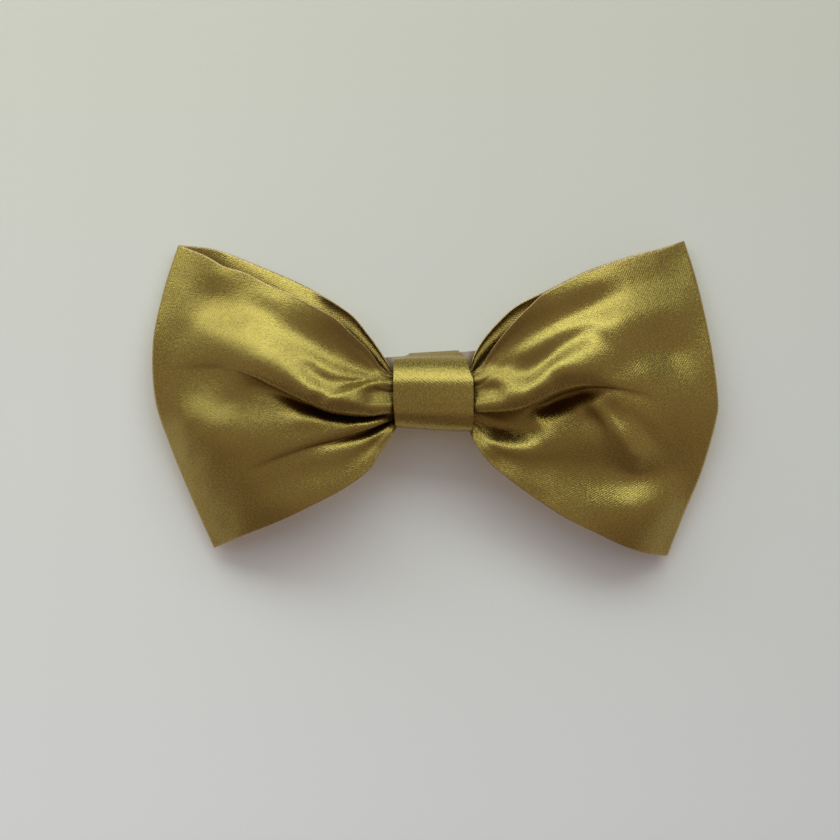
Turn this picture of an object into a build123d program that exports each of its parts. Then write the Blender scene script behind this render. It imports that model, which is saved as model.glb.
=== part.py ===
from build123d import *
import os
from math import cos, radians, sin

# A ready-made satin bow on a spring barrette clip.
#
# Frame: +X to the right as the bow is looked at, +Z up, and the bow faces -Y.
# The origin is the middle of the clasp arm's flat back face, where the bow bears on what it
# is clipped to, so the whole bow lies on the -Y side of the XZ plane.
# A depth below is a distance in front of that plane, so it is measured along -Y.

# ---------------------------------------------------------------- driving dimensions, mm
STRIP_THICKNESS = 0.6        # two plies of satin, turned right side out
LOOP_REACH = 90.5            # from the knot's centre to the fold of a loop
LOOP_CROWN_DEPTH = 34.0      # front of a loop at its fullest
KNOT_DROP = 7.5              # the knot's centre sits this far under the clip's centre line
KNOT_WIDTH = 24.0            # along X
KNOT_HALF_HEIGHT = 11.0      # along Z, at the front
KNOT_CROWN_DEPTH = 21.5      # front of the knot band
BAND_THICKNESS = 0.6

PLATE_LENGTH = 80.0          # the barrette's base plate
PLATE_WIDTH = 10.0
PLATE_THICKNESS = 0.8
PLATE_TAB_DEPTH = 5.4        # middle of the plate's thickness at its flat ends
PLATE_RISE = 3.0             # how far the plate arches forward between its ends
CLIP_TILT = 4.2              # degrees that the clip is turned from level, right end up
ARM_THICKNESS = 0.8
ARM_WIDTH = 5.6
PIN_RADIUS = 0.8

# ---------------------------------------------------------------- derived places, mm
KNOT_Z = -KNOT_DROP
HALF_KNOT = KNOT_WIDTH / 2
HALF_PLATE = PLATE_LENGTH / 2
HALF_PLATE_WIDTH = PLATE_WIDTH / 2
TAB_LENGTH = 10.0
ARCH_HALF_SPAN = HALF_PLATE - TAB_LENGTH
TAB_REAR_DEPTH = PLATE_TAB_DEPTH - PLATE_THICKNESS / 2

HINGE_X = -33.0
PIN_CLEARANCE = 0.05
EYE_BORE = PIN_RADIUS + PIN_CLEARANCE
EYE_RADIUS = EYE_BORE + ARM_THICKNESS
EAR_THICKNESS = 0.8
EAR_HALF_LENGTH = 2.2
EAR_TIP_DEPTH = 0.25
EAR_INNER_Z = HALF_PLATE_WIDTH - EAR_THICKNESS
PIN_HEAD_RADIUS = 1.25
PIN_HEAD_THICKNESS = 0.45
PIN_HEAD_GAP = 0.03
PIN_SEAT_CLEARANCE = 0.02

BAR_THICKNESS = 0.4
BAR_WIDTH = 4.4
BAR_PIVOT_X = -32.2
BAR_PIVOT_DEPTH = 3.95
BAR_BELLY_DEPTH = 2.0
BAR_FREE_X = 27.0
BAR_FREE_DEPTH = 4.4
BAR_LUG_RADIUS = 0.45
BAR_LUG_REACH = HALF_PLATE_WIDTH - 0.2
BAR_SEAT_RADIUS = 0.7

ARM_JOGGLE_START = 22.0
ARM_JOGGLE_END = 26.5
ARM_JOGGLE_DEPTH = 1.6
ARM_TIP_X = 35.4
WINDOW_X = 31.7
WINDOW_LENGTH = 4.2
WINDOW_HALF_WIDTH = 1.75

CATCH_PLATE_THICKNESS = 0.5
CATCH_START_X = 29.9
CATCH_END_X = 36.1
CATCH_HALF_WIDTH = 2.3
CATCH_FACE_DEPTH = TAB_REAR_DEPTH - CATCH_PLATE_THICKNESS
PRONG_LENGTH_X = 3.0
PRONG_THICKNESS = 0.45
PRONG_Z = 1.175
PRONG_ROOT_GAP = 0.05
PRONG_PIVOT_DEPTH = CATCH_FACE_DEPTH - PRONG_ROOT_GAP - PRONG_THICKNESS / 2
PRONG_TIP_DEPTH = 0.3
BARB_SHOULDER_DEPTH = 1.35
BARB_REACH = 0.65
RIVET_X = 34.6
RIVET_RADIUS = 0.9
RIVET_HEAD_RADIUS = 1.45
RIVET_HEAD_HEIGHT = 0.5
RIVET_CLEARANCE = 0.02

SEWING_HOLE_X = 38.0
SEWING_HOLE_RADIUS = 1.0

STRIP_HALF_HEIGHT = 60.0     # uncut height of the cloth before its outline is trimmed
FOLD_RADIUS = 1.3
FOLD_APEX_X = LOOP_REACH + 1.6
FOLD_APEX_DEPTH = 0.9
SHOULDER_X = 66.0
SHOULDER_DEPTH = 31.0
CROWN_X = 31.0
NECK_X = 15.5
NECK_DEPTH = 16.1            # front layer where it leaves the knot
BACK_LAYER_DEPTH = 10.3

WAIST_HALF_HEIGHT = 9.0      # the gathered middle of the strip, under the band
WAIST_HALF_DEPTH = 5.2
WAIST_DEPTH = 14.9
WAIST_LENGTH = 19.0
LOOP_START = WAIST_LENGTH / 2 - 0.5
THREAD_RADIUS = 0.2
THREAD_TURNS = 7
THREAD_PITCH = 0.75

INNER_LAP_DEPTH = 7.05       # the band's two lapped ends, between the plate and the bar
OUTER_LAP_DEPTH = INNER_LAP_DEPTH - BAND_THICKNESS - 0.05
LAP_BOTTOM = -12.5
LAP_TOP = -5.5
BAND_TOP = 6.4               # where the band passes over the plate's upper edge
KNOT_SHOULDER_DEPTH = 13.6
STRAP_LEFT = -4.8
STRAP_RIGHT = 7.2
STRAP_TAPER_START = 15.0
STRAP_TAPER_END = 10.0
STITCH_COUNT = 5
STITCH_PITCH = 2.2
STITCH_LENGTH = 2.6
STITCH_SLANT = 25.0

os.makedirs("parts", exist_ok=True)

# The clip's own planes: `clip` has x along the clip, y along +Y and z across its width.
# `clip_face` looks at it from the front, with y across its width.
along_clip = (cos(radians(CLIP_TILT)), 0, sin(radians(CLIP_TILT)))
across_clip = (-sin(radians(CLIP_TILT)), 0, cos(radians(CLIP_TILT)))
clip = Plane(origin=(0, 0, 0), x_dir=along_clip, z_dir=across_clip)
clip_face = Plane(origin=(0, 0, 0), x_dir=along_clip, z_dir=(0, -1, 0))


def write(piece, name):
    """Labels a finished piece and writes it as its own node."""
    piece.part.label = name
    export_step(piece.part, f"parts/{name}.step")


# ---------------------------------------------------------------- the barrette
# Base plate: a strip arched forward between two flat tabs, with hinge ears at its left end.
with BuildPart() as base_plate:
    with BuildSketch(clip.offset(-HALF_PLATE_WIDTH)):
        with BuildLine():
            left_tab = Line((-HALF_PLATE, -PLATE_TAB_DEPTH), (-ARCH_HALF_SPAN, -PLATE_TAB_DEPTH))
            arch = Spline(
                left_tab @ 1,
                (0, -PLATE_TAB_DEPTH - PLATE_RISE),
                (ARCH_HALF_SPAN, -PLATE_TAB_DEPTH),
                tangents=[(1, 0), (1, 0)],
            )
            Line(arch @ 1, (HALF_PLATE, -PLATE_TAB_DEPTH))
        trace(line_width=PLATE_THICKNESS)
    extrude(amount=PLATE_WIDTH)
    plate_corners = base_plate.edges().filter_by(Axis.Y)
    fillet(plate_corners, radius=2.5)
    ear_height = TAB_REAR_DEPTH - EAR_TIP_DEPTH
    for ear_start in (-HALF_PLATE_WIDTH, EAR_INNER_Z):
        with BuildSketch(clip.offset(ear_start)):
            with Locations((HINGE_X, -(TAB_REAR_DEPTH + EAR_TIP_DEPTH) / 2)):
                ear_outline = Rectangle(2 * EAR_HALF_LENGTH, ear_height)
            fillet(ear_outline.vertices().group_by(Axis.Y)[-1], radius=1.6)
            with Locations((HINGE_X, -EYE_RADIUS)):
                Circle(PIN_RADIUS + PIN_SEAT_CLEARANCE, mode=Mode.SUBTRACT)
            with Locations((BAR_PIVOT_X, -BAR_PIVOT_DEPTH)):
                Circle(BAR_SEAT_RADIUS, mode=Mode.SUBTRACT)
        extrude(amount=EAR_THICKNESS)
    with BuildSketch(clip_face):
        with Locations((-SEWING_HOLE_X, 0), (SEWING_HOLE_X, 0)):
            Circle(SEWING_HOLE_RADIUS)
        with Locations((RIVET_X, 0)):
            Circle(RIVET_RADIUS + RIVET_CLEARANCE)
    extrude(amount=PLATE_TAB_DEPTH + PLATE_RISE, mode=Mode.SUBTRACT)
write(base_plate, "base_plate")

# Hinge pin: a headed rivet through both ears and the arm's eye.
with BuildPart() as hinge_pin:
    with BuildSketch(clip.offset(-HALF_PLATE_WIDTH - PIN_HEAD_GAP)):
        with Locations((HINGE_X, -EYE_RADIUS)):
            Circle(PIN_RADIUS)
    extrude(amount=PLATE_WIDTH + 2 * PIN_HEAD_GAP)
    head_starts = (-HALF_PLATE_WIDTH - PIN_HEAD_GAP - PIN_HEAD_THICKNESS, HALF_PLATE_WIDTH + PIN_HEAD_GAP)
    for head_start in head_starts:
        with BuildSketch(clip.offset(head_start)):
            with Locations((HINGE_X, -EYE_RADIUS)):
                Circle(PIN_HEAD_RADIUS)
        extrude(amount=PIN_HEAD_THICKNESS)
write(hinge_pin, "hinge_pin")

# Clasp arm: a flat strip rolled into an eye at the hinge, with a joggled end that holds a window.
with BuildPart() as clasp_arm:
    with BuildSketch(clip.offset(-ARM_WIDTH / 2)):
        with BuildLine():
            arm_middle = -ARM_THICKNESS / 2
            FilletPolyline(
                (HINGE_X, arm_middle),
                (ARM_JOGGLE_START, arm_middle),
                (ARM_JOGGLE_END, arm_middle - ARM_JOGGLE_DEPTH),
                (ARM_TIP_X, arm_middle - ARM_JOGGLE_DEPTH),
                radius=2.5,
            )
        trace(line_width=ARM_THICKNESS)
        with Locations((HINGE_X, -EYE_RADIUS)):
            Circle(EYE_RADIUS)
            Circle(EYE_BORE, mode=Mode.SUBTRACT)
    extrude(amount=ARM_WIDTH)
    with BuildSketch(clip_face):
        with Locations((WINDOW_X, 0)):
            RectangleRounded(WINDOW_LENGTH, 2 * WINDOW_HALF_WIDTH, 0.4)
    extrude(amount=ARM_JOGGLE_DEPTH + 2 * ARM_THICKNESS, mode=Mode.SUBTRACT)
    arm_tip = clasp_arm.faces().sort_by(Axis.X)[-1]
    fillet(arm_tip.edges().group_by(SortBy.LENGTH)[0], radius=1.8)
write(clasp_arm, "clasp_arm")

# Tension bar: a thin strip bowed back towards the arm, hung by two lugs in the hinge ears.
with BuildPart() as tension_bar:
    with BuildSketch(clip.offset(-BAR_WIDTH / 2)):
        with BuildLine():
            Spline(
                (BAR_PIVOT_X, -BAR_PIVOT_DEPTH),
                (0, -BAR_BELLY_DEPTH - BAR_THICKNESS / 2),
                (BAR_FREE_X, -BAR_FREE_DEPTH),
                tangents=[(1, 0.03), (1, -0.16)],
            )
        trace(line_width=BAR_THICKNESS)
    extrude(amount=BAR_WIDTH)
    free_end = tension_bar.faces().sort_by(Axis.X)[-1]
    fillet(free_end.edges().group_by(SortBy.LENGTH)[0], radius=1.2)
    with BuildSketch(clip.offset(-BAR_LUG_REACH)):
        with Locations((BAR_PIVOT_X, -BAR_PIVOT_DEPTH)):
            Circle(BAR_LUG_RADIUS)
    extrude(amount=2 * BAR_LUG_REACH)
write(tension_bar, "tension_bar")

# Catch plate: the stamped foot of the catch, riveted under the base plate's right tab.
with BuildPart() as catch_plate:
    with BuildSketch(clip_face.offset(CATCH_FACE_DEPTH)):
        with Locations(((CATCH_START_X + CATCH_END_X) / 2, 0)):
            RectangleRounded(CATCH_END_X - CATCH_START_X, 2 * CATCH_HALF_WIDTH, 0.8)
        with Locations((RIVET_X, 0)):
            Circle(RIVET_RADIUS + RIVET_CLEARANCE, mode=Mode.SUBTRACT)
    extrude(amount=CATCH_PLATE_THICKNESS)
write(catch_plate, "catch_plate")

# Catch rivet: a shank with a low head on each side.
with BuildPart() as catch_rivet:
    tab_front_depth = PLATE_TAB_DEPTH + PLATE_THICKNESS / 2
    with BuildSketch(clip_face.offset(CATCH_FACE_DEPTH - RIVET_CLEARANCE)):
        with Locations((RIVET_X, 0)):
            Circle(RIVET_RADIUS)
    extrude(amount=tab_front_depth - CATCH_FACE_DEPTH + 2 * RIVET_CLEARANCE)
    rear_head_start = CATCH_FACE_DEPTH - RIVET_CLEARANCE - RIVET_HEAD_HEIGHT
    for head_start in (rear_head_start, tab_front_depth + RIVET_CLEARANCE):
        with BuildSketch(clip_face.offset(head_start)):
            with Locations((RIVET_X, 0)):
                Circle(RIVET_HEAD_RADIUS)
        extrude(amount=RIVET_HEAD_HEIGHT)
    head_rims = catch_rivet.edges().filter_by(GeomType.CIRCLE).group_by(Axis.Y)
    fillet(head_rims[0] + head_rims[-1], radius=0.3)
write(catch_rivet, "catch_rivet")

# Catch prongs: two spring legs that pass through the arm's window, each with an outward barb.
# They are drawn looking along the clip, with x across its width and y along +Y.
prong_plane = Plane(
    origin=clip.from_local_coords((WINDOW_X - PRONG_LENGTH_X / 2, 0, 0)),
    x_dir=across_clip,
    z_dir=tuple(-part for part in along_clip),
)
for side, prong_name in ((1, "upper_prong"), (-1, "lower_prong")):
    inner = side * (PRONG_Z - PRONG_THICKNESS / 2)
    outer = side * (PRONG_Z + PRONG_THICKNESS / 2)
    with BuildPart() as prong:
        with BuildSketch(prong_plane):
            with BuildLine():
                Polyline(
                    (inner, -PRONG_PIVOT_DEPTH),
                    (inner, -PRONG_TIP_DEPTH),
                    (outer, -PRONG_TIP_DEPTH),
                    (outer + side * BARB_REACH, -BARB_SHOULDER_DEPTH),
                    (outer, -BARB_SHOULDER_DEPTH),
                    (outer, -PRONG_PIVOT_DEPTH),
                    close=True,
                )
            make_face()
            # The root is round about the leg's bend line.
            with Locations((side * PRONG_Z, -PRONG_PIVOT_DEPTH)):
                Circle(PRONG_THICKNESS / 2)
        extrude(amount=-PRONG_LENGTH_X)
    write(prong, prong_name)

# ---------------------------------------------------------------- the bow
# Satin strip: one sewn band of cloth, folded back at both ends and gathered in the middle.
# Its path is drawn from above and made as high as the cloth, then the front outline trims it.
with BuildPart() as bow_strip:
    with BuildSketch(Plane.XY.offset(-STRIP_HALF_HEIGHT)):
        with BuildLine():
            FilletPolyline(
                (-FOLD_APEX_X, -FOLD_APEX_DEPTH),
                (-SHOULDER_X, -SHOULDER_DEPTH),
                (-CROWN_X, -LOOP_CROWN_DEPTH - 1.5),
                (-NECK_X, -NECK_DEPTH),
                (NECK_X, -NECK_DEPTH),
                (CROWN_X, -LOOP_CROWN_DEPTH - 1.5),
                (SHOULDER_X, -SHOULDER_DEPTH),
                (FOLD_APEX_X, -FOLD_APEX_DEPTH),
                (HALF_KNOT + 2, -BACK_LAYER_DEPTH),
                (-HALF_KNOT - 2, -BACK_LAYER_DEPTH),
                radius=(FOLD_RADIUS, 40, 12, 6, 6, 12, 40, FOLD_RADIUS, 20, 20),
                close=True,
            )
        make_face()
        offset(amount=-STRIP_THICKNESS, mode=Mode.SUBTRACT)
    extrude(amount=2 * STRIP_HALF_HEIGHT)
    # Front outline of each loop, from its lower waist round the fold to its upper waist.
    with BuildSketch(Plane((0, 0, KNOT_Z), x_dir=(1, 0, 0), z_dir=(0, -1, 0))):
        with BuildLine():
            right_bottom = Spline((12.4, -8.8), (24, -26.5), (42.2, -39.3), (74.7, -51.5))
            right_fold = ThreePointArc(right_bottom @ 1, (90.6, -3), (80.1, 48.7))
            right_top = Spline(right_fold @ 1, (53.7, 40.6), (26.5, 27.8), (12.4, 8.8))
            Polyline(right_top @ 1, (LOOP_START, 8.8), (LOOP_START, -8.8), right_bottom @ 0)
        make_face()
        with BuildLine():
            left_top = Spline((-12.4, 8.8), (-27.2, 25.9), (-57.5, 41.4), (-81.3, 47.4))
            left_fold = ThreePointArc(left_top @ 1, (-89.4, 3), (-69.9, -48.9))
            left_bottom = Spline(left_fold @ 1, (-48.9, -40.3), (-21.1, -24.6), (-12.4, -8.8))
            Polyline(left_bottom @ 1, (-LOOP_START, -8.8), (-LOOP_START, 8.8), left_top @ 0)
        make_face()
    extrude(amount=LOOP_CROWN_DEPTH + 10, mode=Mode.INTERSECT)
    # The gathered waist is a solid bundle of pleats.
    with BuildSketch(Plane.YZ.offset(-WAIST_LENGTH / 2)):
        with Locations((-WAIST_DEPTH, KNOT_Z)):
            Ellipse(WAIST_HALF_DEPTH, WAIST_HALF_HEIGHT)
    extrude(amount=WAIST_LENGTH)
write(bow_strip, "bow_strip")

# Gathering thread: turns of thread wound round the waist.
with BuildPart() as gather_thread:
    for turn in range(THREAD_TURNS):
        turn_x = (turn - (THREAD_TURNS - 1) / 2) * THREAD_PITCH
        turn_offset = THREAD_RADIUS + 0.05
        with BuildLine(Plane.YZ.offset(turn_x)) as turn_path:
            EllipticalCenterArc(
                (-WAIST_DEPTH, KNOT_Z),
                WAIST_HALF_DEPTH + turn_offset,
                WAIST_HALF_HEIGHT + turn_offset,
                arc_size=360,
            )
        with BuildSketch(Plane(turn_path.line @ 0, z_dir=turn_path.line % 0)):
            Circle(THREAD_RADIUS)
        sweep(path=turn_path.line)
write(gather_thread, "gather_thread")

# Knot band: a satin ribbon wrapped round the waist and the base plate, with its ends lapped
# at the back. It is full width in front and drawn in narrower where it passes the plate.
band_front = KNOT_CROWN_DEPTH - BAND_THICKNESS / 2
band_upper = KNOT_Z + KNOT_HALF_HEIGHT - BAND_THICKNESS / 2
band_lower = KNOT_Z - KNOT_HALF_HEIGHT + BAND_THICKNESS / 2
with BuildPart() as knot_band:
    with BuildSketch(Plane.YZ.offset(-HALF_KNOT)):
        with BuildLine():
            FilletPolyline(
                (-INNER_LAP_DEPTH, LAP_BOTTOM),
                (-INNER_LAP_DEPTH, BAND_TOP),
                (-INNER_LAP_DEPTH - 2.8, BAND_TOP),
                (-KNOT_SHOULDER_DEPTH, band_upper),
                (-band_front, band_upper),
                (-band_front, band_lower),
                (-OUTER_LAP_DEPTH, band_lower),
                (-OUTER_LAP_DEPTH, LAP_TOP),
                radius=(1.1, 1.2, 3, 6.2, 6.6, 5.5),
            )
        trace(line_width=BAND_THICKNESS)
    extrude(amount=KNOT_WIDTH)
    # The drawn-in strap is nearer the right than the left.
    with BuildSketch(Plane.XY.offset(-STRIP_HALF_HEIGHT)):
        with BuildLine():
            Polyline(
                (HALF_KNOT, -STRAP_TAPER_START),
                (STRAP_RIGHT, -STRAP_TAPER_END),
                (STRAP_RIGHT, 0),
                (HALF_KNOT + 1, 0),
                (HALF_KNOT + 1, -STRAP_TAPER_START),
                close=True,
            )
        make_face()
        with BuildLine():
            Polyline(
                (-HALF_KNOT, -STRAP_TAPER_START),
                (STRAP_LEFT, -STRAP_TAPER_END),
                (STRAP_LEFT, 0),
                (-HALF_KNOT - 1, 0),
                (-HALF_KNOT - 1, -STRAP_TAPER_START),
                close=True,
            )
        make_face()
    extrude(amount=2 * STRIP_HALF_HEIGHT, mode=Mode.SUBTRACT)
write(knot_band, "knot_band")

# Band stitches: short slanted stitches that close the band's lap across its flat back.
with BuildPart() as band_stitches:
    stitch_depth = OUTER_LAP_DEPTH - BAND_THICKNESS / 2 - THREAD_RADIUS - 0.02
    stitch_middle_x = (STRAP_LEFT + STRAP_RIGHT) / 2
    for stitch in range(STITCH_COUNT):
        stitch_x = stitch_middle_x + (stitch - (STITCH_COUNT - 1) / 2) * STITCH_PITCH
        half_run = STITCH_LENGTH / 2 * sin(radians(STITCH_SLANT))
        half_rise = STITCH_LENGTH / 2 * cos(radians(STITCH_SLANT))
        start = (stitch_x - half_run, -stitch_depth, LAP_TOP - half_rise)
        end = (stitch_x + half_run, -stitch_depth, LAP_TOP + half_rise)
        with BuildLine() as stitch_path:
            Line(start, end)
        with BuildSketch(Plane(stitch_path.line @ 0, z_dir=stitch_path.line % 0)):
            Circle(THREAD_RADIUS)
        extrude(amount=STITCH_LENGTH)
    fillet(band_stitches.edges().filter_by(GeomType.CIRCLE), radius=THREAD_RADIUS * 0.95)
write(band_stitches, "band_stitches")
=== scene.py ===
import math

import bmesh
import bpy
import numpy as np
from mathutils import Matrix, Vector


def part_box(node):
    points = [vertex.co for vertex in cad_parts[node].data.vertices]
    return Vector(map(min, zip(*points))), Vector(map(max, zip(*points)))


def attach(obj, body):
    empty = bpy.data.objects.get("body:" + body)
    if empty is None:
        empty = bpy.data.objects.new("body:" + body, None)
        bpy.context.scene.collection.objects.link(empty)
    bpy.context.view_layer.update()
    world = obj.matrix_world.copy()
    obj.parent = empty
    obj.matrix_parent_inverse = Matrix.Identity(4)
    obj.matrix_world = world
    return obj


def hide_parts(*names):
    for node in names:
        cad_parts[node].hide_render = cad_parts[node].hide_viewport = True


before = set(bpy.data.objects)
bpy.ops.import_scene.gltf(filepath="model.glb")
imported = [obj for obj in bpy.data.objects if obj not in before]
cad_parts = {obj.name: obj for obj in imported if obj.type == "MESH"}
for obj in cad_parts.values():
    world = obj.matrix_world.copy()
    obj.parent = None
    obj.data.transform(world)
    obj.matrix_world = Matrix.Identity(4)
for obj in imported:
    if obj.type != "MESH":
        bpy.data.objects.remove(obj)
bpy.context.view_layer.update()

# A gathered satin bow on a spring barrette. The frame is the CAD's: metres, +X right, +Z up,
# and the bow faces -Y. Lengths below are millimetres unless a name or a comment says otherwise.
# A "depth" is a distance in front of the plane the bow rests against, so y = -depth.
# Outlines and fold lines have their x and z as they look from the front, measured from the middle
# of the knot, and `place` draws them in towards the line of sight as they come forward.
MM = 0.001

# The view from the front.
VIEW_DISTANCE = 550.0
VIEW_X = -4.2
VIEW_Z = -15.8
FRAME_WIDTH = 268.5            # width of the rest plane that the picture takes in
SENSOR_WIDTH = 36.0

# The strip of cloth.
KNOT_Z = -7.5
CLOTH_THICKNESS = 0.5
STRIP_WIDTH_M = 0.102          # metres, the unit of the cloth's own coordinates
FOLD_RADIUS = 0.6
LIP_REACH = 3.0                # how far above a crease its lip begins to roll under
LINE_FADE = 2.5                # a crease or ridge fades out over this length past its ends
GRID_ALONG = 190
GRID_ACROSS = 240
CHUNKS = 24                    # big grids are worked through in parts, to keep memory small
RIM_ANGLES = np.radians((-60, -30, 0, 30, 60))

# The gathered waist, and the room that the knot band leaves for the cloth.
WAIST_DEPTH = 14.9
WAIST_HALF_DEPTH = 4.6
WAIST_HALF_HEIGHT = 8.6
WAIST_HALF_LENGTH = 10.6
WAIST_PINCH = 0.14             # share of its girth that the waist loses under the thread
PLEAT_INSET = 0.4
INSIDE_BAND_HALF_DEPTH = 5.1
INSIDE_BAND_HALF_HEIGHT = 10.4
INSIDE_BAND_MIDDLE = 0.1
BAND_EDGE_X = 12.2             # outside this the cloth comes free of the band
FREE_SLOPE = 1.8               # depth that the cloth may gain for each millimetre beyond it
LOOP_START_X = 10.0            # the loops begin inside the band

# The knot band.
BAND_THICKNESS = 0.6
BAND_HALF_WIDTH = 12.0
BAND_REACH_BEHIND = (-7.2, 7.8)
BAND_HALF_WIDTH_M = 0.012
# Its section as (depth, z), from the lap at the back up, over the clip and round the front.
BAND_SECTION = [
    (6.95, -5.0), (6.95, 0.0), (6.95, 4.0), (7.3, 5.0), (8.6, 5.4), (10.4, 4.7), (12.4, 3.8),
    (14.6, 3.3), (16.8, 2.6), (19.2, -0.1), (21.0, -3.9), (21.4, -7.6), (21.5, -11.4),
    (21.0, -14.8), (18.2, -17.9), (14.0, -18.5), (11.0, -18.4), (8.6, -17.2), (7.1, -15.0),
    (6.75, -12.0), (6.9, -8.0),
]
BAND_CORE = (14.2, KNOT_Z)

# Threads.
THREAD_TURNS = 7
THREAD_PITCH = 0.75
THREAD_RADIUS = 0.2
THREAD_CLEARANCE = 0.3
STITCH_COUNT = 5
STITCH_RADIUS = 0.18
STITCH_DEPTH = 6.35

# The back layer's depth from the waist (0) to the fold (1), before it leans and waves.
BACK_PROFILE = [(0, 13.0), (0.1, 11.8), (0.25, 10.4), (0.45, 8.8), (0.7, 5.6), (1, 2.4)]
BACK_CLEARANCE = 0.15          # least gap between the back layer and the rest plane
UPPER_LEAN = 1.8               # how far the back layer's upper edge leans back
UPPER_LEAN_HEIGHT = 5.5        # the lean begins this far below the edge
LOWER_LEAN = 2.6
LOWER_LEAN_SHARE = 0.22        # share of the strip's width that the lower lean takes
FOLD_BLEND = 14.0              # the back layer finds its own depth within this of the fold


# ------------------------------------------------------------------ curves and fields
def running_length(steps):
    """Distance covered before each point, from the steps between the points."""
    return np.concatenate([[0], np.cumsum(steps)])


def curve(points, at):
    """Points of a smooth curve through `points`, at fractions `at` of its length."""
    p = np.asarray(points, float)
    ends = np.vstack([2 * p[0] - p[1], p, 2 * p[-1] - p[-2]])
    t = np.linspace(0, 1, 24, endpoint=False)[:, None]
    parts = []
    for i in range(len(p) - 1):
        a, b, c, d = ends[i:i + 4]
        parts.append(0.5 * (2 * b + (c - a) * t + (2 * a - 5 * b + 4 * c - d) * t ** 2
                            + (3 * b - a - 3 * c + d) * t ** 3))
    dense = np.vstack(parts + [p[-1:]])
    run = running_length(np.linalg.norm(np.diff(dense[:, :2], axis=0), axis=1))
    run /= run[-1]
    return np.stack([np.interp(at, run, dense[:, k]) for k in range(p.shape[1])], axis=-1)


def coons(bottom, top, waist, fold, u, v):
    """The (x, z) of a patch between four edges; u runs from waist to fold, v from bottom to top."""
    b, t = curve(bottom, u)[:, None], curve(top, u)[:, None]
    w, f = curve(waist, v)[None], curve(fold, v)[None]
    uu, vv = u[:, None, None], v[None, :, None]
    corners = ((1 - uu) * ((1 - vv) * w[:, :1] + vv * w[:, -1:])
               + uu * ((1 - vv) * f[:, :1] + vv * f[:, -1:]))
    return (1 - vv) * b + vv * t + (1 - uu) * w + uu * f - corners


def thin_plate(samples, xz):
    """Depth at xz of a springy sheet that is held at the (x, z, depth) samples."""
    scale = 50.0               # brings millimetres near one, where the kernel is well behaved
    give_at_samples = 2e-5     # lets the sheet pass a hair off a sample and stay smooth
    s = np.asarray(samples, float)
    known = s[:, :2] / scale

    def kernel(a, b):
        r2 = ((a[:, None] - b[None]) ** 2).sum(-1)
        return 0.5 * r2 * np.log(r2 + 1e-12)

    n = len(s)
    flat = np.hstack([np.ones((n, 1)), known])
    system = np.zeros((n + 3, n + 3))
    system[:n, :n] = kernel(known, known) + give_at_samples * np.eye(n)
    system[:n, n:] = flat
    system[n:, :n] = flat.T
    weights = np.linalg.solve(system, np.concatenate([s[:, 2], np.zeros(3)]))
    out = []
    for chunk in np.array_split(xz.reshape(-1, 2) / scale, CHUNKS):
        rows = np.hstack([np.ones((len(chunk), 1)), chunk])
        out.append(kernel(chunk, known) @ weights[:n] + rows @ weights[n:])
    return np.concatenate(out).reshape(xz.shape[:-1])


def along(line, spacing=2.6):
    """A fold line's (x, z, depth) samples, evenly spaced."""
    p = np.asarray(line, float)
    length = np.linalg.norm(np.diff(p[:, :2], axis=0), axis=1).sum()
    return curve(p, np.linspace(0, 1, max(2, int(length / spacing) + 1)))


def place(xz, depth):
    """Positions in the CAD frame of front-view points at a depth."""
    near = 1 - depth / VIEW_DISTANCE
    x = VIEW_X + (xz[..., 0] - VIEW_X) * near
    z = VIEW_Z + (xz[..., 1] + KNOT_Z - VIEW_Z) * near
    return np.stack([x, -depth, z], axis=-1)


def spread(count, start_power, end_power):
    """Fractions from 0 to 1, packed closer towards an end whose power is above 1."""
    t = np.linspace(0, 1, count)
    head = t ** start_power
    tail = 1 - (1 - t) ** end_power
    return head * (1 - t) + tail * t


def smooth_step(value):
    """0 below 0, 1 above 1, and a soft rise between."""
    t = np.clip(value, 0, 1)
    return t * t * (3 - 2 * t)


def ripple(v, *waves):
    """Sine waves across the strip added up, each given as (height, cycles, phase in cycles)."""
    return sum(height * np.sin(2 * math.pi * (cycles * v + phase))
               for height, cycles, phase in waves)


def full_turn(count):
    """Angles once round, evenly spaced."""
    return np.linspace(0, 2 * math.pi, count, endpoint=False)


def unit(vectors):
    """The vectors brought to length one."""
    return vectors / np.maximum(np.linalg.norm(vectors, axis=-1, keepdims=True), 1e-9)


# ------------------------------------------------------------------ meshes
def solid(name, points, faces, uv=None):
    """A smooth shaded piece with its faces turned outwards, from points in millimetres.

    `uv` holds each point's place on the cloth, in metres."""
    mesh = bpy.data.meshes.new(name)
    mesh.from_pydata((np.asarray(points) * MM).tolist(), [], faces)
    if uv is not None:
        layer = mesh.uv_layers.new(name="cloth")
        point_of_corner = np.empty(len(mesh.loops), int)
        mesh.loops.foreach_get("vertex_index", point_of_corner)
        layer.data.foreach_set("uv", uv[point_of_corner].ravel())
    bm = bmesh.new()
    bm.from_mesh(mesh)
    bmesh.ops.recalc_face_normals(bm, faces=bm.faces)
    bm.to_mesh(mesh)
    bm.free()
    mesh.shade_smooth()
    piece = bpy.data.objects.new(name, mesh)
    bpy.context.collection.objects.link(piece)
    return piece


def quads(rows, around, joined=False):
    """Faces between rings of points. `joined` runs them on from the last ring to the first."""
    faces = []
    for i in range(rows if joined else rows - 1):
        here, beyond = i * around, (i + 1) % rows * around
        for k in range(around):
            k2 = (k + 1) % around
            faces.append((here + k, beyond + k, beyond + k2, here + k2))
    return faces


def normals_of(grid):
    """Unit normals of a (rows, columns, 3) grid."""
    return unit(np.cross(np.gradient(grid, axis=0), np.gradient(grid, axis=1)))


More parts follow.
